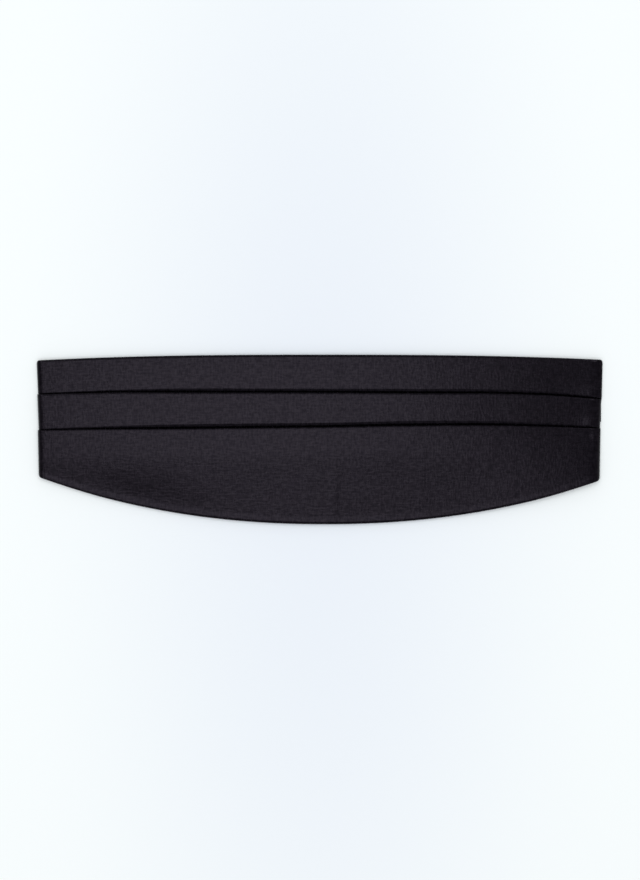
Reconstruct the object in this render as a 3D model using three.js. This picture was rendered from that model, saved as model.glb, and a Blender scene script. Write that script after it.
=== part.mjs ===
// Cummerbund laid face up on a flat surface, closed behind itself by its waist strap.
//
// The front is one cut of satin. It is folded into three bands by two knife pleats that open towards
// the top edge, and its top and bottom allowances are turned under. Two straps lie flat behind it, from
// its ends to a stamped hook and eye at the middle of the back.
//
// Millimetres. X runs along the garment, Y towards its top edge, and Z up from the surface it lies on.
// The origin is on that surface, under the middle of the garment.

import * as THREE from "three";

// ---- driving dimensions -------------------------------------------------------------------------

const FRONT = {
  length: 424, // end to end, at the top edge
  height: 127, // at the middle, between the top edge and the lowest point of the curve
  wall: 1.0, // satin with its interlining
  lap: 0.3, // air between two plies that lie on each other
  hem: 12, // allowance turned under along the top and the bottom
  pleatDepth: 17, // how far each pleat reaches down behind its fold
  bed: 1.6, // height of the lowest ply's underside: the hems and the straps lie below it
};

// How far the visible bands stand above the lowest ply.
const LIFT = {
  topEdge: 1.5,
  upperMouth: 1.7, // of the top band, where it turns down into the upper pleat
  lowerMouth: 2.8, // of the middle band, where it turns down into the lower pleat
  bottomEdge: 0.7,
};

// Each edge falls away from its middle by fall * share^power, and has small round corners.
const TOP_EDGE = { leftFall: 4.3, leftPower: 2.6, rightFall: 3.8, rightPower: 2.7, corner: 2 };
const BOTTOM_EDGE = { rise: 32.7, power: 2.15, lowestAt: 3.75, corner: 1.4 };

const END = { leanIn: 2.1, rollOver: 6, pressedTo: 0.6 }; // the ends lean in below and are pressed thinner

// Height of the two folded edges above the middle of the garment, and the length over which a band turns
// down into the pleat there.
const FOLD_LINES = [
  { x: -212, upper: 33.8, lower: 7.0, mouth: 0.8 },
  { x: -180, upper: 34.7, lower: 7.7, mouth: 0.9 },
  { x: -150, upper: 35.3, lower: 8.0, mouth: 1.3 },
  { x: -110, upper: 35.3, lower: 8.2, mouth: 1.9 },
  { x: -45, upper: 35.2, lower: 8.9, mouth: 2.1 },
  { x: 0, upper: 35.2, lower: 9.4, mouth: 2.1 },
  { x: 75, upper: 34.7, lower: 10.6, mouth: 2.1 },
  { x: 135, upper: 34.4, lower: 10.7, mouth: 2.1 },
  { x: 180, upper: 32.7, lower: 9.6, mouth: 1.7 },
  { x: 212, upper: 30.2, lower: 8.5, mouth: 1.2 },
];

const STRAP = { width: 25, thickness: 1.3, y: 15, outerEnd: 203, lapLength: 10, lapThickness: 0.5 };

const CLASP = {
  sheet: 0.5, // stamped sheet thickness
  width: 22,
  hookWidth: 15,
  sewnLength: 10, // the flat that lies under the strap's end ply
  bar: { from: -0.5, to: 2 }, // the eye's bar, which the hook passes over
  slotEnd: 8,
  slotWidth: 17,
  reach: 4.5, // the hook's tip
  holeRadius: 1,
  holeSpacing: 14,
};

const CLOTH = new THREE.MeshStandardMaterial({ name: "black_satin", color: 0x28262d, roughness: 0.45 });
const METAL = new THREE.MeshStandardMaterial({
  name: "nickel_plated_steel", color: 0xb9b8b4, roughness: 0.3, metalness: 1,
});

// ---- curves the front is worked out from --------------------------------------------------------

const halfLength = FRONT.length / 2;
const halfHeight = FRONT.height / 2;
const ply = FRONT.wall + FRONT.lap;

function smoothStep(from, to, value) {
  const t = THREE.MathUtils.clamp((value - from) / (to - from), 0, 1);
  return t * t * (3 - 2 * t);
}

// How far a round corner of the given radius has cut in at x, seen from its edge.
function cornerCut(x, radius) {
  const inside = Math.max(0, Math.abs(x) - (halfLength - radius));
  return radius - Math.sqrt(Math.max(0, radius * radius - inside * inside));
}

function topEdge(x) {
  const [fall, power] = x < 0
    ? [TOP_EDGE.leftFall, TOP_EDGE.leftPower]
    : [TOP_EDGE.rightFall, TOP_EDGE.rightPower];
  return halfHeight - fall * Math.abs(x / halfLength) ** power - cornerCut(x, TOP_EDGE.corner);
}

function bottomEdge(x) {
  const away = Math.abs(x - BOTTOM_EDGE.lowestAt) / (halfLength - BOTTOM_EDGE.lowestAt);
  return -halfHeight + BOTTOM_EDGE.rise * away ** BOTTOM_EDGE.power + cornerCut(x, BOTTOM_EDGE.corner);
}

// A smooth curve through one column of FOLD_LINES.
function foldLine(column) {
  const curve = new THREE.CatmullRomCurve3(FOLD_LINES.map((row) => new THREE.Vector3(row.x, row[column], 0)));
  const samples = curve.getPoints(200);
  return (x) => {
    const i = Math.max(1, samples.findIndex((p) => p.x >= x - 1e-6));
    const [a, b] = [samples[i - 1], samples[i]];
    return THREE.MathUtils.lerp(a.y, b.y, THREE.MathUtils.clamp((x - a.x) / (b.x - a.x), 0, 1));
  };
}

const upperFold = foldLine("upper");
const lowerFold = foldLine("lower");
const mouthWidth = foldLine("mouth");

// ---- the folded section ---------------------------------------------------------------------------

// Half a turn of the cloth about an edge at y, from one height to another. side is +1 where the turn
// bulges towards the top edge. The cloth's outer face just reaches y.
function turn(y, fromZ, toZ, side) {
  const steps = 4;
  const radius = Math.abs(toZ - fromZ) / 2;
  const centreY = y - side * (radius + FRONT.wall / 2);
  const points = [];
  for (let i = 0; i <= steps; i += 1) {
    const angle = Math.PI * (i / steps - 0.5);
    const z = (fromZ + toZ) / 2 + radius * Math.sin(angle) * Math.sign(toZ - fromZ);
    points.push(new THREE.Vector2(centreY + side * radius * Math.cos(angle), z));
  }
  return points;
}

// The visible stretch of a band, at the given distances down from where it starts. Its height goes from
// one lift to another, past the end of any pleat behind it, then down a quarter of an ellipse into a mouth.
function band(fromY, toY, baseZ, lifts, behind, mouth, distances) {
  const span = fromY - toY;
  return distances(span).map((down) => {
    const height = THREE.MathUtils.lerp(lifts.from, lifts.to, smoothStep(behind, span, down));
    const inside = mouth > 0 ? THREE.MathUtils.clamp((down - span + mouth) / mouth, 0, 1) : 0;
    return new THREE.Vector2(fromY - down, baseZ + height * Math.sqrt(1 - inside * inside));
  });
}

function evenly(from, to, count) {
  return Array.from({ length: count }, (_, i) => from + ((to - from) * (i + 1)) / (count + 1));
}

// The middle line of the cloth at station x, from the edge of the top allowance to that of the bottom one.
function clothLine(x) {
  const hemZ = FRONT.wall / 2;
  const baseZ = FRONT.bed + FRONT.wall / 2;
  const stack = 2 * ply;
  const [top, upper, lower, bottom] = [topEdge(x), upperFold(x), lowerFold(x), bottomEdge(x)];
  const mouth = mouthWidth(x);
  const foldRoll = (ply + FRONT.wall) / 2;
  const beforeFold = FRONT.wall / 2 + FRONT.lap; // keeps a band's wall clear of the fold that it dives under
  const edgeRoll = (lift) => (baseZ + lift - hemZ + FRONT.wall) / 2;
  const mouthShares = [1, 0.45, 0.12, 0]; // steps through a mouth, closer together where it is steep
  const intoMouth = (span) => mouthShares.map((share) => span - share * mouth);
  const pleat = (foldY) => [
    ...turn(foldY - FRONT.pleatDepth, baseZ, baseZ + ply, -1),
    ...turn(foldY, baseZ + ply, baseZ + stack, 1),
  ];
  return [
    new THREE.Vector2(top - FRONT.hem, hemZ),
    ...turn(top, hemZ, baseZ + LIFT.topEdge, 1),
    ...band(top - edgeRoll(LIFT.topEdge), upper + beforeFold, baseZ,
      { from: LIFT.topEdge, to: LIFT.upperMouth }, 0, mouth,
      (span) => [...evenly(0, span - mouth, 3), ...intoMouth(span)]),
    ...pleat(upper),
    ...band(upper - foldRoll, lower + beforeFold, baseZ, { from: stack, to: LIFT.lowerMouth }, 0, mouth,
      (span) => [...evenly(0, span - mouth, 3), ...intoMouth(span)]),
    ...pleat(lower),
    ...band(lower - foldRoll, bottom + edgeRoll(LIFT.bottomEdge), baseZ,
      { from: stack, to: LIFT.bottomEdge }, FRONT.pleatDepth, 0,
      (span) => [FRONT.pleatDepth / 2, FRONT.pleatDepth, ...evenly(FRONT.pleatDepth, span, 6)]),
    ...turn(bottom, baseZ + LIFT.bottomEdge, hemZ, -1),
    new THREE.Vector2(bottom + FRONT.hem, hemZ),
  ];
}

// The cloth's outline at station x: the middle line moved out by half the wall to one side, and back
// along the other side.
function section(x) {
  const line = clothLine(x);
  const sides = [1, -1].map((side) => line.map((point, i) => {
    const along = line[Math.min(i + 1, line.length - 1)].clone().sub(line[Math.max(i - 1, 0)]).normalize();
    return new THREE.Vector2(-along.y, along.x).multiplyScalar((side * FRONT.wall) / 2).add(point);
  }));
  return [...sides[0], ...sides[1].reverse()];
}

// A section's points in space. The ends lean in towards the bottom edge, and over the last few
// millimetres the plies are pressed down onto each other.
function placed(points, x) {
  const fromRoll = Math.max(0, Math.abs(x) - (halfLength - END.rollOver)) / END.rollOver;
  const press = 1 - (1 - END.pressedTo) * fromRoll * fromRoll;
  return points.map((p) => {
    const lean = 1 - (END.leanIn / halfLength) * ((halfHeight - p.x) / FRONT.height);
    return [x * lean, p.x, p.y * press];
  });
}

// Stations along the garment: even over its length, and close together where the ends roll over.
function stations() {
  const nearEnd = [1, 2.2, 3.8, END.rollOver, 11];
  const inner = halfLength - 18;
  const even = Array.from({ length: 25 }, (_, i) => -inner + (2 * inner * i) / 24);
  const left = [0, ...nearEnd].map((gap) => gap - halfLength);
  return [...left, ...even, ...left.map((x) => -x).reverse()];
}

// Closed body through one ring of points per station, capped at both ends.
function loft(rings) {
  const size = rings[0].length;
  const index = [];
  for (let s = 0; s + 1 < rings.length; s += 1) {
    for (let i = 0; i < size; i += 1) {
      const next = (i + 1) % size;
      const [a, b, c, d] = [s * size + i, s * size + next, (s + 1) * size + i, (s + 1) * size + next];
      index.push(a, c, b, b, c, d);
    }
  }
  const lastRing = (rings.length - 1) * size;
  [[0, 0], [lastRing, rings.length - 1]].forEach(([offset, ring]) => {
    const outline = rings[ring].map(([, y, z]) => new THREE.Vector2(y, z));
    THREE.ShapeUtils.triangulateShape(outline, []).forEach(([a, b, c]) => {
      const flipped = ring === 0 ? [a, c, b] : [a, b, c];
      index.push(...flipped.map((corner) => corner + offset));
    });
  });
  const geometry = new THREE.BufferGeometry();
  geometry.setAttribute("position", new THREE.Float32BufferAttribute(rings.flat(2), 3));
  geometry.setIndex(index);
  geometry.computeVertexNormals();
  return geometry;
}

function pleatedFront() {
  return loft(stations().map((x) => placed(section(x), x)));
}

// ---- the straps and the clasp behind the front ------------------------------------------------------

// A profile in X and Z carried across Y by the given width, centred on the strap.
function acrossStrap(profile, width) {
  const shape = new THREE.Shape(profile.map(([x, z]) => new THREE.Vector2(x, z)));
  const geometry = new THREE.ExtrudeGeometry(shape, { depth: width, bevelEnabled: false });
  geometry.rotateX(Math.PI / 2);
  geometry.translate(0, STRAP.y + width / 2, 0);
  return geometry;
}

// A strap of full thickness whose last stretch is a single ply lying on the clasp's sewn flat.
function strap(outerX, lapX) {
  const outward = Math.sign(outerX - lapX);
  const lapStart = lapX + outward * STRAP.lapLength;
  const plyZ = STRAP.thickness - STRAP.lapThickness;
  return acrossStrap([
    [outerX, 0], [lapStart, 0], [lapStart, plyZ],
    [lapX, plyZ], [lapX, STRAP.thickness], [outerX, STRAP.thickness],
  ], STRAP.width);
}

// The hook: a flat under the strap's end, a step up and over the eye's bar, and a tip turned down.
function claspHook() {
  const { sheet, bar, reach } = CLASP;
  const over = STRAP.thickness - sheet;
  const stepUp = bar.from - 1;
  const flatEnd = stepUp - 1.5;
  return acrossStrap([
    [flatEnd - CLASP.sewnLength, 0], [flatEnd, 0], [stepUp, over], [reach - sheet, over],
    [reach - sheet, 0.1], [reach, 0.1], [reach, STRAP.thickness], [stepUp - 0.5, STRAP.thickness],
    [flatEnd - 0.5, sheet], [flatEnd - CLASP.sewnLength, sheet],
  ], CLASP.hookWidth);
}

// The eye: a stamped plate with a slot behind its bar and two sewing holes in its flat.
function claspEye() {
  const { bar, slotEnd, slotWidth, width, sheet, holeRadius, holeSpacing, sewnLength } = CLASP;
  const flatEnd = slotEnd + sewnLength;
  const rectangle = (fromX, toX, tall) => [
    new THREE.Vector2(fromX, -tall / 2), new THREE.Vector2(toX, -tall / 2),
    new THREE.Vector2(toX, tall / 2), new THREE.Vector2(fromX, tall / 2),
  ];
  const plate = new THREE.Shape(rectangle(bar.from, flatEnd, width));
  plate.holes.push(new THREE.Path(rectangle(bar.to, slotEnd, slotWidth).reverse()));
  [-1, 1].forEach((side) => {
    const hole = new THREE.Path();
    hole.absarc((slotEnd + flatEnd) / 2, (side * holeSpacing) / 2, holeRadius, 0, 2 * Math.PI, true);
    plate.holes.push(hole);
  });
  const geometry = new THREE.ExtrudeGeometry(plate, { depth: sheet, bevelEnabled: false, curveSegments: 6 });
  geometry.translate(0, STRAP.y, 0);
  return geometry;
}

// ---- the garment -------------------------------------------------------------------------------------

const hookLapEnd = CLASP.bar.from - 3.5; // where the left strap's end ply stops on the hook's flat
const eyeLapEnd = CLASP.slotEnd + 1; // where the right strap's end ply stops on the eye's flat

const pieces = [
  ["pleated_front", pleatedFront(), CLOTH],
  ["strap_left", strap(-STRAP.outerEnd, hookLapEnd), CLOTH],
  ["strap_right", strap(STRAP.outerEnd, eyeLapEnd), CLOTH],
  ["clasp_hook", claspHook(), METAL],
  ["clasp_eye", claspEye(), METAL],
];

const cummerbund = new THREE.Group();
cummerbund.name = "cummerbund";
pieces.forEach(([name, geometry, material]) => {
  const mesh = new THREE.Mesh(geometry, material);
  mesh.name = name;
  cummerbund.add(mesh);
});

export default cummerbund;
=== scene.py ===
"""Black satin cummerbund, laid face up with its waist strap fastened behind it.

The front is one folded wall of satin. Its section (the way the cloth runs up over a fold and down under
the next) is worked out for every station along the garment, as whole arrays, and the creases are soft
ridges and troughs added to the bands that show. Sizes are in millimetres until a mesh is made.
"""

import bmesh
import bpy
import numpy as np
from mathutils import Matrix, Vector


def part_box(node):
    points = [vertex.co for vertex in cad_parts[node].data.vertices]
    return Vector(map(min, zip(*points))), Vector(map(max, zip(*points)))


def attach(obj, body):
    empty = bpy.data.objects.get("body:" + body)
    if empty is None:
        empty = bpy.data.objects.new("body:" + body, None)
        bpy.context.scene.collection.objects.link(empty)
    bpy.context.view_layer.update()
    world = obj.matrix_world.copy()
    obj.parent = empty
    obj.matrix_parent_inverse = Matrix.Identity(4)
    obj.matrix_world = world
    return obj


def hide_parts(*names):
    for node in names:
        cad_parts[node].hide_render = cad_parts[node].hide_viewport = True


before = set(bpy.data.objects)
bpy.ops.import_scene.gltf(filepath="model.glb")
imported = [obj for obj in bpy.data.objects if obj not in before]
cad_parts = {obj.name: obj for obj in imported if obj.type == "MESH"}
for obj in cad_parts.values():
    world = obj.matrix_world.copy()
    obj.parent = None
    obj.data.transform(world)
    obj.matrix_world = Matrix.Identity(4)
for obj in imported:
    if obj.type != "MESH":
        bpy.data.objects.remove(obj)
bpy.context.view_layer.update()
MM = 0.001

# ---- sizes, from the frame ------------------------------------------------------------------------

FRONT_LOW, FRONT_HIGH = (np.array(corner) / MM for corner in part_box("pleated_front"))
HALF_LENGTH = (FRONT_HIGH[0] - FRONT_LOW[0]) / 2
HALF_HEIGHT = (FRONT_HIGH[1] - FRONT_LOW[1]) / 2

WALL = 1.0  # satin with its interlining
LAP = 0.3  # air between two plies that lie on each other
PLY = WALL + LAP
BED = 1.6  # underside of the lowest ply, above the hems and the straps
HEM = 12.0  # allowance turned under along the top and the bottom
PLEAT_DEPTH = 17.0
LOW_PLY = BED + WALL / 2  # middle of the lowest ply
HEM_PLY = WALL / 2  # middle of the turned-under allowance
# How far the visible bands stand above the lowest ply: at the free edges and where they turn into a mouth.
LIFT = {"top_edge": 1.5, "upper_mouth": 1.7, "lower_mouth": 2.8, "bottom_edge": 0.7}
RIM_LIFT = 0.2  # further rise in the last few millimetres before the curved edge
FOLD_BULGE = 0.3  # reach of the turn at a pleat's fold
SHUT_FROM, SHUT_BY, SHUT_TO = -165, -208, 0.3  # towards the left end the folds are pressed to this share
ROWS_CLOSE_UP = 1.6  # power by which a band's rows crowd towards its mouth, which can be 0.15 mm long
INSIDE_TURN = 0.3  # share of a turn's radius that its inner face may take up
TURN_SHARE = 0.96  # share of a half turn that its rows cover
BAND_ROWS = (34, 32, 54)  # rows of cloth in each visible band, from the top one down
TURN_ROWS, LOW_TURN_ROWS, STRAIGHT_ROWS = 9, 5, 3  # the same for a fold, a pleat's far end and a hidden ply
SETTLE_FROM, SETTLE_OVER = 9, 34  # how a band eases down once it is past the pleat behind it
PUFF = 0.12  # rise of a band's middle over its edges
CREASE_FADE = 9  # length below a fold over which creases grow to their full lift
RIM_FROM, RIM_TO = 4.5, 0.5  # distances from the curved edge between which the rim rises
DIVE = 0.985  # how much of a quarter ellipse a band falls into its mouth, where 1 would reach the low ply
PAST_MOUTH = 0.4  # distance inside a fold at which the low ply starts to run straight
EDGE_BULGE = 0.45  # reach of the turn at a free edge, which is pressed crisp

TOP_FALL = {"left": 4.3, "right": 3.8}  # at the ends, below the highest point
TOP_POWER = {"left": 2.6, "right": 2.7}
BOTTOM_RISE, BOTTOM_POWER = 32.7, 2.15  # at the ends, above the lowest point
BOTTOM_LOWEST_AT = 3.75
TOP_CORNER, BOTTOM_CORNER = 2.0, 2.0  # radii of the round corners

STRAP_LOW, STRAP_HIGH = (np.array(corner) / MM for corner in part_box("strap_left"))
STRAP_Y = (STRAP_LOW[1] + STRAP_HIGH[1]) / 2
STRAP_WIDTH = STRAP_HIGH[1] - STRAP_LOW[1]
STRAP_TOP = STRAP_HIGH[2]
STRAP_LAP = 10.0  # length of the end ply that is sewn down over the clasp
STRAP_LAP_Z = 0.8  # underside of that ply
STITCH_ROWS = (STRAP_LAP + 1.6, STRAP_LAP + 5.0)  # rows across the strap, from its end
STITCHES = 9  # in each row
STITCH_FROM, STITCH_SHARE = 0.12, 0.76  # where a stitch starts in its pitch, and how much of it it fills
STITCH_MARGIN = 3  # of the strap's width that a row leaves free, both sides together
STITCH_GROOVE, GROOVE_WIDTH = 0.25, 0.8
THREAD = 0.35
STRAP_STATIONS, STRAP_RING = 241, 36  # places along the strap between its rounded ends, points round it
STRAP_END_ROUND = 1.0  # length over which a strap's end is rounded off
STRAP_END_KEEPS = 0.09  # square of the share of its thickness that the very end keeps
STRAP_STEP = 1.5  # length over which the underside steps up to the end ply
SECTION_WIDE, SECTION_THICK = 14, 2.6  # powers of the strap's section across and through it
EDGE_WANDER, WANDER_LENGTH = 0.1, 11
BROKEN_EDGE = 0.12  # bevel of the stamped pieces

# Folded edges above the garment's middle, and the length over which a band turns down into each pleat.
FOLDS = np.array([
    # x, upper fold, lower fold, upper mouth, lower mouth
    (-212, 33.8, 7.0, 0.15, 0.15),
    (-180, 34.7, 7.7, 0.3, 0.3),
    (-150, 35.3, 8.0, 0.9, 1.0),
    (-110, 35.3, 8.2, 2.1, 2.1),
    (-45, 35.2, 8.9, 2.3, 2.3),
    (0, 35.2, 9.4, 2.1, 2.1),
    (75, 34.7, 10.6, 2.6, 2.6),
    (135, 34.4, 10.7, 2.3, 2.1),
    (180, 32.7, 9.6, 1.6, 1.2),
    (212, 30.2, 8.5, 0.6, 0.15),
])

# How far each end of a band stands in from the garment's full length, at its fold and just above the next.
END_INSET = np.array([
    # left at fold, left below, right at fold, right below
    (0.1, 1.1, 0.0, 0.7),
    (0.5, 1.6, 1.2, 2.0),
    (0.9, 1.6, 1.6, 2.3),
])
END_ROLL = {"left": 3.5, "right": 8.0}  # length over which an end rolls down
END_PRESSED_TO = 0.3  # share of its height that the very end keeps
INSET_FADE = 60  # length from an end over which the inset fades out
HIDDEN_INSET = 0.5  # further inset of what lies hidden
END_STATIONS, MIDDLE_STATIONS = 15, 202

# Soft ridges (lift above 0) and troughs on the bands. angle turns the crease's length from X, in degrees.
CREASES = np.array([
    # x, y, length, width, angle, lift
    (10.5, -42, 26, 3.0, 89, 0.19),
    (11, 49, 14, 3.5, 92, 0.11),
    (11, 21, 12, 3.5, 88, 0.09),
    (-132, -46, 50, 16.0, -12, -0.54),
    (80, -62, 60, 52.0, 0, -0.3),
    (250, -58, 100, 42.0, 0, 3.6),
    (165, -18, 60, 30.0, 0, 0.2),
    (214, 34.5, 14, 7.0, 0, 0.62),
    (214, 12.5, 14, 7.0, 0, 0.72),
    (75, -40, 18, 6.0, 100, 0.09),
    (150, 46, 22, 6.0, 10, 0.06),
    (-95, 48, 30, 6.0, -6, 0.06),
    (-20, 22, 36, 5.0, 3, 0.05),
])


def smooth(start, end, value):
    """0 before start, 1 after end, and t*t*(3 - 2*t) in between."""
    t = np.clip((value - start) / (end - start), 0, 1)
    return t * t * (3 - 2 * t)


def along_table(x, column):
    """A column of FOLDS at x: piecewise cubic Hermite with central-difference slopes."""
    knots, values = FOLDS[:, 0], FOLDS[:, column]
    slopes = np.gradient(values, knots)
    i = np.clip(np.searchsorted(knots, x) - 1, 0, len(knots) - 2)
    step = knots[i + 1] - knots[i]
    t = np.clip((x - knots[i]) / step, 0, 1)
    return ((1 + 2 * t) * (1 - t) ** 2 * values[i] + t * (1 - t) ** 2 * step * slopes[i]
            + t * t * (3 - 2 * t) * values[i + 1] - t * t * (1 - t) * step * slopes[i + 1])


def corner_cut(x, radius):
    """How far a round corner has cut in at x: radius - sqrt(radius^2 - inside^2)."""
    inside = np.clip(np.abs(x) - (HALF_LENGTH - radius), 0, radius)
    return radius - np.sqrt(radius ** 2 - inside ** 2)


def top_edge(x):
    """Y of the top edge: half height - fall * |x / half length|^power - corner cut."""
    fall = np.where(x < 0, TOP_FALL["left"], TOP_FALL["right"])
    power = np.where(x < 0, TOP_POWER["left"], TOP_POWER["right"])
    return HALF_HEIGHT - fall * np.abs(x / HALF_LENGTH) ** power - corner_cut(x, TOP_CORNER)


def bottom_edge(x):
    """Y of the curved edge: rise * (distance from its lowest point / the same at the right end)^power above
    the lowest point, and the corner cut."""
    away = np.abs(x - BOTTOM_LOWEST_AT) / (HALF_LENGTH - BOTTOM_LOWEST_AT)
    return -HALF_HEIGHT + BOTTOM_RISE * away ** BOTTOM_POWER + corner_cut(x, BOTTOM_CORNER)


def band_of(x, y):
    """Which band a place lies in: 0 above the upper fold there, 1 between the folds, 2 below the lower."""
    return int(y < along_table(x, 1)) + int(y < along_table(x, 2))


def crease_lift(x, y, owner):
    """Sum over a band's own creases of lift * exp(-(run / length)^2 - (across / width)^2), with run and
    across measured from the crease's centre in axes turned by its angle."""
    lift = np.zeros(np.broadcast(x, y).shape)
    for cx, cy, length, width, angle, height in CREASES:
        if band_of(cx, cy) != owner:
            continue
        turn = np.radians(angle)
        run = (x - cx) * np.cos(turn) + (y - cy) * np.sin(turn)
        across = -(x - cx) * np.sin(turn) + (y - cy) * np.cos(turn)
        lift += height * np.exp(-(run / length) ** 2 - (across / width) ** 2)
    return lift


# ---- the folded section, for all stations at once --------------------------------------------------


def half_turn(edge, from_z, to_z, side, steps, bulge):
    """Half an ellipse of cloth from one height to another, whose outer face just reaches the edge in Y. It
    covers TURN_SHARE of the half turn, so that it never puts a row on the first row of the next stretch."""
    angle = TURN_SHARE * np.pi * (np.linspace(0, 1, steps)[:, None] - 0.5)
    y = edge - side * (bulge + WALL / 2) + side * bulge * np.cos(angle)
    z = (from_z + to_z) / 2 + (to_z - from_z) / 2 * np.sin(angle)
    return y, z + 0 * y


def band(start, end, steps, lifts, mouth, x, owner):
    """The visible stretch of a band, from start down to end in Y.

    height = low ply + its first lift, easing to its second lift as
    exp(-past^2 / (past + SETTLE_FROM) / SETTLE_OVER) once it is past the pleat behind it (if there is one),
    and puffed up by a low sine. It ends in a quarter of an ellipse down into the next mouth, or, along the
    curved edge where there is no mouth, in a small rise. Creases fade out towards the fold above them.
    Rows crowd towards a mouth: share = 1 - (1 - t)^ROWS_CLOSE_UP, with t even.
    """
    first, last = lifts
    t = np.linspace(0, 1, steps)[:, None]
    share = t if mouth is None else 1 - (1 - t) ** ROWS_CLOSE_UP
    span = start - end
    down = share * span
    y = start - down
    puff = 1 - 0.5 * np.abs(x / HALF_LENGTH) ** 8  # half as much at the very ends
    folded_above = first >= 2 * PLY
    past = np.clip(down - (PLEAT_DEPTH if folded_above else 0), 0, None)
    settling = past ** 2 / (past + SETTLE_FROM) / SETTLE_OVER
    height = last + (first - last) * np.exp(-settling) + PUFF * puff * np.sin(np.pi * share)
    lift = crease_lift(x, y, owner)
    if folded_above:
        lift = lift * smooth(0, CREASE_FADE, down)
    if mouth is None:
        dive = 1
        height = height + RIM_LIFT * smooth(RIM_FROM, RIM_TO, span - down)
    else:
        inside = np.clip((down - (span - mouth)) / mouth, 0, 1)
        dive = np.sqrt(1 - DIVE * inside ** 2)
    return y, LOW_PLY + (height + lift) * dive


def folded_cloth(x):
    """Middle line of the cloth at every station: arrays of Y and Z, cloth length down, stations across,
    and for every row the band that it belongs to and whether it lies hidden."""
    top, bottom = top_edge(x), bottom_edge(x)
    upper, lower = along_table(x, 1), along_table(x, 2)
    edge_roll = EDGE_BULGE + WALL / 2
    shut = 1 - (1 - SHUT_TO) * smooth(SHUT_FROM, SHUT_BY, x)
    bulge = FOLD_BULGE * shut
    fold_roll = bulge + WALL / 2
    under_roll = PLY / 2 + WALL / 2
    flat = np.zeros_like(x)[None, :]
    before_fold = WALL / 2 + LAP * shut  # keeps a band's wall clear of the fold that it dives under
    stack = 2 * PLY
    bands = [
        band(top - edge_roll, upper + before_fold, BAND_ROWS[0],
             (LIFT["top_edge"], LIFT["upper_mouth"]), along_table(x, 3), x, 0),
        band(upper - fold_roll, lower + before_fold, BAND_ROWS[1],
             (stack, LIFT["lower_mouth"]), along_table(x, 4), x, 1),
        band(lower - fold_roll, bottom + edge_roll, BAND_ROWS[2],
             (stack, LIFT["bottom_edge"]), None, x, 2),
    ]
    top_z, bottom_z = bands[0][1][0], bands[2][1][-1]

    def straight(from_y, to_y, z):
        share = np.linspace(0, 1, STRAIGHT_ROWS + 2)[1:-1, None]
        return from_y + (to_y - from_y) * share, z + flat + 0 * share

    def pleat(fold):
        return [
            straight(fold - PAST_MOUTH, fold - PLEAT_DEPTH + under_roll, LOW_PLY),
            half_turn(fold - PLEAT_DEPTH, LOW_PLY, LOW_PLY + PLY, -1, LOW_TURN_ROWS, PLY / 2),
            straight(fold - PLEAT_DEPTH + under_roll, fold - fold_roll, LOW_PLY + PLY),
            half_turn(fold, LOW_PLY + PLY, LOW_PLY + stack, 1, TURN_ROWS, bulge),
        ]

    rows = [
        straight(top - HEM, top - edge_roll, HEM_PLY),
        half_turn(top, HEM_PLY, top_z, 1, TURN_ROWS, EDGE_BULGE),
        bands[0],
        *pleat(upper),
        bands[1],
        *pleat(lower),
        bands[2],
        half_turn(bottom, bottom_z, HEM_PLY, -1, TURN_ROWS, EDGE_BULGE),
        straight(bottom + edge_roll, bottom + HEM, HEM_PLY),
    ]
    y = np.concatenate([part[0] + flat for part in rows])
    z = np.concatenate([part[1] + flat for part in rows])
    # which band each row belongs to, and whether it lies hidden inside a pleat or under the edge
    counts = [len(part[0]) for part in rows]
    owner = np.repeat([0, 0, 0, 0, 0, 0, 1, 1, 1, 1, 1, 2, 2, 2, 2], counts)
    hidden = np.repeat([1, 0, 0, 1, 1, 1, 0, 0, 1, 1, 1, 0, 0, 0, 1], counts)
    return y, z, owner, hidden


def end_inset(x, y, owner, hidden):
    """How far a point stands in from the full length: END_INSET from a band's fold to the next one, plus
    a little for what lies hidden, all of it fading out away from the ends."""
    folds = np.stack([top_edge(x), along_table(x, 1), along_table(x, 2), bottom_edge(x)])
    share = np.clip((folds[owner] - y) / (folds[owner + 1] - folds[owner]) * -1, 0, 1)
    at_left = END_INSET[owner, 0][:, None] * (1 - share) + END_INSET[owner, 1][:, None] * share
    at_right = END_INSET[owner, 2][:, None] * (1 - share) + END_INSET[owner, 3][:, None] * share
    inset = np.where(x < 0, at_left, at_right) + HIDDEN_INSET * hidden[:, None]
    return inset * smooth(HALF_LENGTH - INSET_FADE, HALF_LENGTH, np.abs(x))


def stations():
    """Places along the garment: every 2 mm, and crowded as a sine where the ends roll down."""
    quarter = np.sin(np.linspace(0, np.pi / 2, END_STATIONS))
    left = -HALF_LENGTH + END_ROLL["left"] * (1 - quarter)
    right = HALF_LENGTH - END_ROLL["right"] * (1 - quarter)
    return np.concatenate([left[::-1], np.linspace(left[0], right[0], MIDDLE_STATIONS)[1:-1], right])


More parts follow.
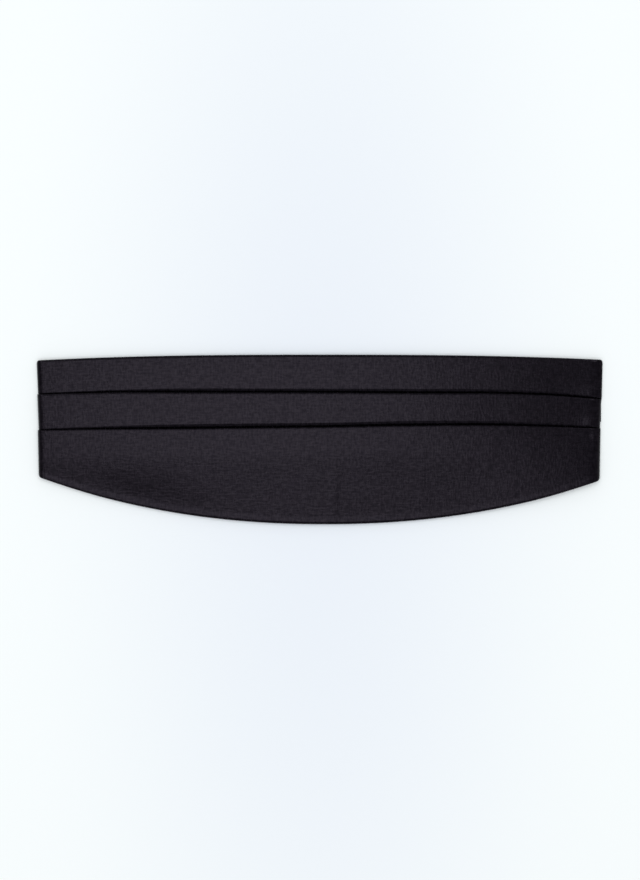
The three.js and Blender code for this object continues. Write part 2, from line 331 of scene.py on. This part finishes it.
def front_surface():
    """The satin front as a closed wall: its middle line at each station, moved out by half the wall to
    each side in the plane of the section, then pressed down at the ends and drawn in by the end inset.

    On the inside of a turn the cloth is squeezed, so there the inner face stands off the middle line by no
    more than INSIDE_TURN of step / change of heading, which is the turn's radius, and never crosses itself.
    """
    x = stations()
    y, z, owner, hidden = folded_cloth(x)
    along_y, along_z = np.gradient(y, axis=0), np.gradient(z, axis=0)
    length = np.hypot(along_y, along_z)
    step = np.hypot(np.diff(y, axis=0), np.diff(z, axis=0))
    cloth_length = np.vstack([np.zeros_like(x), np.cumsum(step, axis=0)])
    roll = np.where(x < 0, END_ROLL["left"], END_ROLL["right"])
    inside = np.clip((np.abs(x) - (HALF_LENGTH - roll)) / roll, 0, 1)
    press = np.sqrt(1 - (1 - END_PRESSED_TO ** 2) * inside ** 2)
    placed_x = x[None, :] - np.sign(x) * end_inset(x, y, owner, hidden)
    turn = np.diff(np.unwrap(np.arctan2(along_z, along_y), axis=0), axis=0)
    room = step / np.maximum(turn, 1e-6)
    room = np.vstack([room[:1], np.minimum(room[1:], room[:-1]), room[-1:]])
    inner_half = np.minimum(WALL / 2, INSIDE_TURN * room)
    faces = [
        np.stack([placed_x, y + out * along_z / length, (z - out * along_y / length) * press], axis=-1)
        for out in (WALL / 2, -inner_half)
    ]
    return faces[0], faces[1], np.stack([x[None, :] + HALF_LENGTH + 0 * y, cloth_length], axis=-1)


# ---- straps, their stitching and the clasp -----------------------------------------------------------


def strap_surface(outer_x, lap_x):
    """A strap as a flat tube with rounded edges: a section carried along X, in rows round the section.

    The section is |y / half width|^SECTION_WIDE + |z / half thickness|^SECTION_THICK = 1. Over the last
    lap its underside steps up from the surface to the upper ply, which lies on the clasp, each row of
    stitches pulls a groove exp(-(from row / GROOVE_WIDTH)^2) into it, and its edges wander by a low sine.
    """
    out = np.sign(outer_x - lap_x)
    quarter = STRAP_END_ROUND * (1 - np.cos(np.linspace(0, np.pi / 2, 5)))
    rounded = STRAP_END_ROUND * out
    middle = np.linspace(lap_x + rounded, outer_x - rounded, STRAP_STATIONS)
    x = np.concatenate([lap_x + out * quarter, middle[1:-1], (outer_x - out * quarter)[::-1]])
    from_end = np.minimum(np.abs(x - lap_x), np.abs(x - outer_x))
    from_round = 1 - np.clip(from_end / STRAP_END_ROUND, 0, 1)
    rounding = np.sqrt(np.clip(1 - from_round ** 2, STRAP_END_KEEPS, 1))
    from_lap = np.abs(x - lap_x)
    under = STRAP_LAP_Z * smooth(STRAP_LAP, STRAP_LAP - STRAP_STEP, from_lap)
    for row in STITCH_ROWS:
        under = under + STITCH_GROOVE * np.exp(-((from_lap - row) / GROOVE_WIDTH) ** 2)
    angle = (np.arange(STRAP_RING) + 0.5)[:, None] * 2 * np.pi / STRAP_RING
    across = np.sign(np.cos(angle)) * np.abs(np.cos(angle)) ** (2 / SECTION_WIDE)
    upward = np.sign(np.sin(angle)) * np.abs(np.sin(angle)) ** (2 / SECTION_THICK)
    half_width = STRAP_WIDTH / 2 - EDGE_WANDER + EDGE_WANDER * np.sin(x / WANDER_LENGTH)
    half_thick = (STRAP_TOP - under) / 2
    y = STRAP_Y + across * half_width
    z = under + half_thick + upward * half_thick * rounding
    points = np.stack([x + 0 * y, y, z], axis=-1)
    section = np.stack([y, z])
    round_it = np.cumsum(np.hypot(*np.diff(section, axis=1, prepend=section[:, -1:])), axis=0)
    return points, np.stack([x + 0 * y, round_it], axis=-1)


def stitch_rows(lap_x, out):
    """Every stitch of a strap, as rings of six points: the height of the thread's middle over the groove and
    its radius both follow sqrt(sin(pi * t)) along the stitch. Axes: row, stitch, ring, point, coordinate."""
    row = np.array(STITCH_ROWS)[:, None, None, None]
    t = np.linspace(0, 1, 7)[:, None]
    angle = np.arange(6) * np.pi / 3
    swell = np.sqrt(np.sin(np.pi * t).clip(0))
    pitch = (STRAP_WIDTH - STITCH_MARGIN) / STITCHES
    along = (np.arange(STITCHES)[:, None, None] + STITCH_FROM + STITCH_SHARE * t) * pitch
    x = lap_x + out * row + THREAD / 2 * swell * np.cos(angle)
    y = STRAP_Y - (STRAP_WIDTH - STITCH_MARGIN) / 2 + along
    z = STITCH_GROOVE - THREAD / 2 * swell * (0.1 + np.sin(angle))
    return np.stack(np.broadcast_arrays(x, y, z), axis=-1)


# ---- meshes -------------------------------------------------------------------------------------------


def add_mesh(name, points, faces, material, uv=None):
    """A mesh object at the origin from an array of points in millimetres and an array of quads."""
    mesh = bpy.data.meshes.new(name)
    mesh.vertices.add(len(points))
    mesh.vertices.foreach_set("co", (points * MM).astype(np.float32).ravel())
    mesh.loops.add(faces.size)
    mesh.loops.foreach_set("vertex_index", faces.astype(np.int32).ravel())
    mesh.polygons.add(len(faces))
    mesh.polygons.foreach_set("loop_start", np.arange(0, faces.size, faces.shape[1], dtype=np.int32))
    mesh.polygons.foreach_set("use_smooth", np.ones(len(faces), bool))
    mesh.update(calc_edges=True)
    if uv is not None:
        layer = mesh.uv_layers.new(name="cut")
        layer.data.foreach_set("uv", (uv[faces.ravel()] * MM).astype(np.float32).ravel())
    mesh.validate()
    mesh.materials.append(material)
    piece = bpy.data.objects.new(name, mesh)
    bpy.context.scene.collection.objects.link(piece)
    return piece


def tube_mesh(name, points, material, uv):
    """A closed tube from rows round its section, with flat ends: each row is joined to its mirror image."""
    rows, columns = points.shape[:2]
    index = np.arange(rows * columns).reshape(rows, columns)
    below = np.roll(index, -1, axis=0)
    skin = np.stack([index[:, :-1], index[:, 1:], below[:, 1:], below[:, :-1]], axis=-1).reshape(-1, 4)
    half = rows // 2
    upper, lower = index[:half], index[half:][::-1]
    first = np.stack([upper[:-1, 0], upper[1:, 0], lower[1:, 0], lower[:-1, 0]], axis=-1)
    last = np.stack([upper[1:, -1], upper[:-1, -1], lower[:-1, -1], lower[1:, -1]], axis=-1)
    faces = np.concatenate([skin, first, last])
    if points[0, -1, 0] > points[0, 0, 0]:
        faces = faces[:, ::-1]
    return add_mesh(name, points.reshape(-1, 3), faces, material, uv.reshape(-1, 2))


def thread_mesh(name, rings, material):
    """Closed tapered threads from rings of points, whose first and last rings are a single point each."""
    count, points = rings.shape[-3], rings.shape[-2]
    index = np.arange(rings.size // 3).reshape(-1, count, points)
    turned = np.roll(index, -1, axis=2)
    faces = np.stack([index[:, :-1], index[:, 1:], turned[:, 1:], turned[:, :-1]], axis=-1).reshape(-1, 4)
    piece = add_mesh(name, rings.reshape(-1, 3), faces, material)
    tidy_mesh(piece.data)
    return piece


def tidy_mesh(mesh):
    """Merges doubles, dissolves flat joins between loose triangles, and turns every face outwards."""
    shape = bmesh.new()
    shape.from_mesh(mesh)
    bmesh.ops.remove_doubles(shape, verts=shape.verts, dist=1e-6)
    bmesh.ops.dissolve_limit(shape, angle_limit=np.radians(0.5), verts=shape.verts, edges=shape.edges)
    bmesh.ops.recalc_face_normals(shape, faces=shape.faces)
    shape.to_mesh(mesh)
    shape.free()


def stamped_piece(name, node, material):
    """The frame's own stamped part with its cut edges broken by a narrow rounded bevel."""
    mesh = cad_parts[node].data.copy()
    mesh.materials.clear()
    mesh.materials.append(material)
    tidy_mesh(mesh)
    piece = bpy.data.objects.new(name, mesh)
    bpy.context.scene.collection.objects.link(piece)
    edge = piece.modifiers.new("broken_edge", "BEVEL")
    edge.width = BROKEN_EDGE * MM
    edge.segments = 2
    edge.limit_method = "ANGLE"
    edge.angle_limit = np.radians(30)
    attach(piece, "root")
    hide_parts(node)
    return piece


def wall_mesh(name, outer, inner, material, uv):
    """A closed wall between two grids of points: both sides, and a rim all the way round."""
    rows, columns = outer.shape[:2]
    ring = np.concatenate([outer, inner[::-1]])
    index = np.arange(2 * rows * columns).reshape(2 * rows, columns)
    below = np.roll(index, -1, axis=0)
    skin = np.stack([index[:, :-1], below[:, :-1], below[:, 1:], index[:, 1:]], axis=-1).reshape(-1, 4)
    out, back = index[:rows], index[rows:][::-1]
    low = np.stack([out[:-1, 0], back[:-1, 0], back[1:, 0], out[1:, 0]], axis=-1)
    high = np.stack([out[1:, -1], back[1:, -1], back[:-1, -1], out[:-1, -1]], axis=-1)
    both_uv = np.concatenate([uv, uv[::-1]]).reshape(-1, 2)
    return add_mesh(name, ring.reshape(-1, 3), np.concatenate([skin, low, high]), material, both_uv)


# ---- materials ------------------------------------------------------------------------------------------


def linear(hex_colour):
    """sRGB hex to the linear colour that the shader works with."""
    srgb = np.array([int(hex_colour[i:i + 2], 16) for i in (1, 3, 5)]) / 255
    value = np.where(srgb <= 0.04045, srgb / 12.92, ((srgb + 0.055) / 1.055) ** 2.4)
    return (*value.tolist(), 1.0)


def add_node(tree, kind, settings=(), links=(), values=()):
    """Adds a node, sets its settings by name and its sockets by name or number, and links sockets to it."""
    node = tree.nodes.new(kind)
    for key, value in dict(settings).items():
        setattr(node, key, value)
    for key, value in dict(values).items():
        node.inputs[key].default_value = value
    for key, source in dict(links).items():
        tree.links.new(source, node.inputs[key])
    return node


def new_material(name):
    material = bpy.data.materials.new(name)
    material.use_nodes = True
    tree = material.node_tree
    tree.nodes.clear()
    output = add_node(tree, "ShaderNodeOutputMaterial")
    return material, tree, output


def black_satin():
    """Black polyester satin, woven with long floats and calendered: nearly no diffuse colour, a tight
    highlight that fades wherever the cloth tilts away from the light, and a fine grain.

    The threads of such satin are 0.1 mm apart. The floats are drawn 0.22 mm wide and five threads long,
    each row shifted by two threads. The thick and thin places in the yarn, which the eye reads as grain, are
    drawn 1.35 mm wide and about 4.5 mm long, along the weft and along the warp.
    """
    material, tree, output = new_material("black_satin_woven")
    cut = add_node(tree, "ShaderNodeUVMap", {"uv_map": "cut"})
    thread = 0.22e-3  # width of a float, in metres
    harness = 5  # threads that a float runs over
    slub = 1.35e-3  # width of a thick or thin place in the yarn
    thin, thick = 0.34, 0.66  # the noise's range from the thinnest yarn to the thickest
    apart = add_node(tree, "ShaderNodeSeparateXYZ", links={"Vector": cut.outputs["UV"]})

    def maths(operation, first, second=None):
        node = add_node(tree, "ShaderNodeMath", {"operation": operation})
        for socket, value in zip(node.inputs, (first, second)):
            if isinstance(value, (int, float)):
                socket.default_value = value
            elif value is not None:
                tree.links.new(value.outputs[0] if hasattr(value, "outputs") else value, socket)
        return node

    row = maths("DIVIDE", apart.outputs["Y"], thread)
    shift = maths("MULTIPLY", maths("FLOOR", row), 2 / harness)
    phase = maths("FRACT", maths("ADD", maths("DIVIDE", apart.outputs["X"], thread * harness), shift))
    float_top = maths("POWER", maths("SINE", maths("MULTIPLY", phase, np.pi)), 0.5)
    float_side = maths("SINE", maths("MULTIPLY", maths("FRACT", row), np.pi))
    floats = maths("MULTIPLY", float_top, float_side)

    def slubs(squeezed):
        """Thick and thin places in the yarn: a noise drawn out along the axis whose scale is below 1."""
        drawn = add_node(tree, "ShaderNodeMapping", values={"Scale": squeezed},
                         links={"Vector": cut.outputs["UV"]})
        return add_node(tree, "ShaderNodeTexNoise", {"noise_dimensions": "2D"},
                        values={"Scale": 1 / slub, "Detail": 1.0, "Roughness": 0.4},
                        links={"Vector": drawn.outputs["Vector"]})

    weft, warp = slubs((0.28, 1.0, 1.0)), slubs((1.0, 0.32, 1.0))
    yarn = maths("MULTIPLY", maths("ADD", weft.outputs["Fac"], warp.outputs["Fac"]), 0.5)
    hand = add_node(tree, "ShaderNodeTexNoise", {"noise_dimensions": "2D"},
                    values={"Scale": 1 / 24e-3, "Detail": 2.0, "Roughness": 0.5},
                    links={"Vector": cut.outputs["UV"]})
    colour = add_node(tree, "ShaderNodeValToRGB", links={"Fac": yarn.outputs[0]})
    colour.color_ramp.elements[0].position = thin
    colour.color_ramp.elements[0].color = linear("#000000")
    colour.color_ramp.elements[1].position = thick
    colour.color_ramp.elements[1].color = linear("#0b090d")
    polish = add_node(tree, "ShaderNodeMapRange",
                      values={"From Min": thin, "From Max": thick, "To Min": 0.20, "To Max": 0.16},
                      links={"Value": yarn.outputs[0]})
    glint = add_node(tree, "ShaderNodeValToRGB", links={"Fac": yarn.outputs[0]})
    glint.color_ramp.elements[0].position = thin
    glint.color_ramp.elements[0].color = linear("#d6cae5")
    glint.color_ramp.elements[1].position = thick
    glint.color_ramp.elements[1].color = linear("#f4e7ff")
    unevenness = add_node(tree, "ShaderNodeBump", values={"Strength": 0.2, "Distance": 0.6e-3},
                          links={"Height": hand.outputs["Fac"]})
    grain = add_node(tree, "ShaderNodeBump", values={"Strength": 1.0, "Distance": 0.06e-3},
                     links={"Height": yarn.outputs[0], "Normal": unevenness.outputs["Normal"]})
    weave = add_node(tree, "ShaderNodeBump", values={"Strength": 0.5, "Distance": 0.005e-3},
                     links={"Height": floats.outputs[0], "Normal": grain.outputs["Normal"]})
    shader = add_node(tree, "ShaderNodeBsdfPrincipled",
                      values={"Specular IOR Level": 0.11, "Sheen Weight": 0.01,
                              "Sheen Roughness": 0.45, "Sheen Tint": linear("#b9aec8")},
                      links={"Base Color": colour.outputs["Color"], "Normal": weave.outputs["Normal"],
                             "Specular Tint": glint.outputs["Color"],
                             "Roughness": polish.outputs["Result"]})
    tree.links.new(shader.outputs["BSDF"], output.inputs["Surface"])
    return material


def ribbed_strap():
    """Black polyester grosgrain, woven with a thick weft: ribs across the strap 1.2 mm apart, matte, with
    a little fuzz that catches light from the side."""
    material, tree, output = new_material("black_grosgrain_woven")
    cut = add_node(tree, "ShaderNodeUVMap", {"uv_map": "cut"})
    ribs = add_node(tree, "ShaderNodeTexWave", {"wave_type": "BANDS", "bands_direction": "X"},
                    values={"Scale": 0.314 / 1.2e-3, "Distortion": 0.6, "Detail": 1.0, "Detail Scale": 2.0},
                    links={"Vector": cut.outputs["UV"]})
    fuzz = add_node(tree, "ShaderNodeTexNoise", {"noise_dimensions": "2D"},
                    values={"Scale": 1 / 0.5e-3, "Detail": 2.0}, links={"Vector": cut.outputs["UV"]})
    colour = add_node(tree, "ShaderNodeValToRGB", links={"Fac": fuzz.outputs["Fac"]})
    colour.color_ramp.elements[0].position = 0.35
    colour.color_ramp.elements[0].color = linear("#131216")
    colour.color_ramp.elements[1].position = 0.7
    colour.color_ramp.elements[1].color = linear("#26242a")
    raised = add_node(tree, "ShaderNodeBump", values={"Strength": 0.8, "Distance": 0.25e-3},
                      links={"Height": ribs.outputs["Fac"]})
    rough = add_node(tree, "ShaderNodeBump", values={"Strength": 0.4, "Distance": 0.1e-3},
                     links={"Height": fuzz.outputs["Fac"], "Normal": raised.outputs["Normal"]})
    dullness = add_node(tree, "ShaderNodeMapRange", values={"To Min": 0.55, "To Max": 0.8},
                        links={"Value": fuzz.outputs["Fac"]})
    shader = add_node(tree, "ShaderNodeBsdfPrincipled",
                      values={"Specular IOR Level": 0.3, "Sheen Weight": 0.15, "Sheen Roughness": 0.5,
                              "Sheen Tint": linear("#8f8a96")},
                      links={"Base Color": colour.outputs["Color"], "Normal": rough.outputs["Normal"],
                             "Roughness": dullness.outputs["Result"]})
    tree.links.new(shader.outputs["BSDF"], output.inputs["Surface"])
    return material


def sewing_thread():
    """Black spun polyester thread, twisted: fine slanting ply lines and a slight shine."""
    material, tree, output = new_material("black_polyester_thread")
    place = add_node(tree, "ShaderNodeTexCoord")
    plies = add_node(tree, "ShaderNodeTexWave", {"wave_type": "BANDS", "bands_direction": "DIAGONAL"},
                     values={"Scale": 0.314 / 0.3e-3, "Distortion": 0.3},
                     links={"Vector": place.outputs["Object"]})
    colour = add_node(tree, "ShaderNodeValToRGB", links={"Fac": plies.outputs["Fac"]})
    colour.color_ramp.elements[0].color = linear("#0f0e11")
    colour.color_ramp.elements[1].color = linear("#2c2a31")
    twist = add_node(tree, "ShaderNodeBump", values={"Strength": 0.6, "Distance": 0.05e-3},
                     links={"Height": plies.outputs["Fac"]})
    shader = add_node(tree, "ShaderNodeBsdfPrincipled",
                      values={"Roughness": 0.45, "Specular IOR Level": 0.4},
                      links={"Base Color": colour.outputs["Color"], "Normal": twist.outputs["Normal"]})
    tree.links.new(shader.outputs["BSDF"], output.inputs["Surface"])
    return material


def nickel_plate():
    """Nickel-plated steel sheet, stamped: warm grey metal, with faint rolling lines along X drawn 0.3 mm
    apart, and slightly duller patches where it is handled."""
    material, tree, output = new_material("nickel_plated_steel_stamped")
    place = add_node(tree, "ShaderNodeTexCoord")
    drawn_out = add_node(tree, "ShaderNodeMapping", values={"Scale": (0.04, 1.0, 1.0)},
                         links={"Vector": place.outputs["Object"]})
    lines = add_node(tree, "ShaderNodeTexNoise", values={"Scale": 1 / 0.3e-3, "Detail": 2.0},
                     links={"Vector": drawn_out.outputs["Vector"]})
    handled = add_node(tree, "ShaderNodeTexNoise", values={"Scale": 1 / 5e-3, "Detail": 2.0},
                       links={"Vector": place.outputs["Object"]})
    dullness = add_node(tree, "ShaderNodeMapRange", values={"To Min": 0.18, "To Max": 0.46},
                        links={"Value": handled.outputs["Fac"]})
    colour = add_node(tree, "ShaderNodeValToRGB", links={"Fac": handled.outputs["Fac"]})
    colour.color_ramp.elements[0].color = linear("#b3aca0")
    colour.color_ramp.elements[1].color = linear("#d3ccc0")
    scratches = add_node(tree, "ShaderNodeBump", values={"Strength": 0.3, "Distance": 0.02e-3},
                         links={"Height": lines.outputs["Fac"]})
    shader = add_node(tree, "ShaderNodeBsdfPrincipled", values={"Metallic": 1.0},
                      links={"Base Color": colour.outputs["Color"], "Roughness": dullness.outputs["Result"],
                             "Normal": scratches.outputs["Normal"]})
    tree.links.new(shader.outputs["BSDF"], output.inputs["Surface"])
    return material


def floor_paper():
    """Matte background paper, very pale, with painted shade: a little greyer in a pool round the middle,
    drawn out along Y.
    """
    material, tree, output = new_material("matte_paper")
    place = add_node(tree, "ShaderNodeTexCoord")
    squeezed = add_node(tree, "ShaderNodeMapping", values={"Scale": (1.0, 0.35, 1.0)},
                        links={"Vector": place.outputs["Object"]})
    away = add_node(tree, "ShaderNodeVectorMath", {"operation": "LENGTH"},
                    links={0: squeezed.outputs["Vector"]})
    share = add_node(tree, "ShaderNodeMapRange",
                     {"interpolation_type": "SMOOTHSTEP"}, values={"From Min": 0.0, "From Max": 0.26},
                     links={"Value": away.outputs["Value"]})
    # painted shade: the paper's colour goes greyer towards the middle, in a pool drawn out along Y
    painted_shade_tone = add_node(tree, "ShaderNodeValToRGB", links={"Fac": share.outputs["Result"]})
    painted_shade_tone.color_ramp.elements[0].color = linear("#e9f1f4")
    painted_shade_tone.color_ramp.elements[1].color = linear("#f6fdf9")
    shader = add_node(tree, "ShaderNodeBsdfPrincipled",
                      values={"Roughness": 0.95, "Specular IOR Level": 0.1},
                      links={"Base Color": painted_shade_tone.outputs["Color"]})
    tree.links.new(shader.outputs["BSDF"], output.inputs["Surface"])
    return material


# ---- the garment ------------------------------------------------------------------------------------------

outer, inner, cut = front_surface()
front = wall_mesh("satin_front", outer, inner, black_satin(), cut)
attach(front, "root")
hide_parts("pleated_front")

ribbed, thread = ribbed_strap(), sewing_thread()
for side, out in (("left", -1), ("right", 1)):
    node = "strap_" + side
    low, high = (np.array(corner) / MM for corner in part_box(node))
    outer_x, lap_x = (low[0], high[0]) if out < 0 else (high[0], low[0])
    surface, strap_uv = strap_surface(outer_x, lap_x)
    strap = tube_mesh("waist_strap_" + side, surface, ribbed, strap_uv)
    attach(strap, "root")
    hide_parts(node)
    stitches = thread_mesh("strap_stitches_" + side, stitch_rows(lap_x, out), thread)
    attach(stitches, "root")

nickel = nickel_plate()
stamped_piece("clasp_hook_plate", "clasp_hook", nickel)
stamped_piece("clasp_eye_plate", "clasp_eye", nickel)

# ---- floor, light and camera -------------------------------------------------------------------------------

FLOOR_SIZE = 12.0
bpy.ops.mesh.primitive_plane_add(size=FLOOR_SIZE, location=(0, 0, 0))
floor = bpy.context.object
floor.name = "floor"
floor.data.materials.append(floor_paper())


def softbox(name, place, width, depth, power):
    """A rectangular area lamp that hangs level at a place in metres and shines straight down."""
    lamp = bpy.data.lights.new(name, "AREA")
    lamp.shape = "RECTANGLE"
    lamp.size = width
    lamp.size_y = depth
    lamp.energy = power
    light = bpy.data.objects.new(name, lamp)
    light.location = place
    bpy.context.scene.collection.objects.link(light)
    return light


softbox("overhead", (-0.15, 0.05, 2.3), 0.81, 0.72, 6.0)
for across in (-1.3, 1.3):
    softbox("far_light", (across, 1.2, 3.0), 1.2, 1.2, 15)
    softbox("near_light", (across, -1.2, 3.0), 1.2, 1.2, 9)

world = bpy.data.worlds.new("studio")
bpy.context.scene.world = world
world.use_nodes = True
world.node_tree.nodes["Background"].inputs["Color"].default_value = linear("#f6f3fb")
world.node_tree.nodes["Background"].inputs["Strength"].default_value = 0.68

VIEW_HEIGHT = 0.6594  # metres of the surface that the tall side of the view takes in
VIEW_SHIFT = (0.0003, -0.0004)
LENS = 100.0
SENSOR = 36.0
camera_data = bpy.data.cameras.new("camera")
camera_data.lens = LENS
camera_data.sensor_width = SENSOR
camera_data.clip_end = 100
camera = bpy.data.objects.new("camera", camera_data)
camera.location = (*VIEW_SHIFT, VIEW_HEIGHT * LENS / SENSOR)
camera.rotation_euler = (0, 0, 0)
bpy.context.scene.collection.objects.link(camera)
bpy.context.scene.camera = camera
bpy.context.scene.view_settings.view_transform = "Standard"
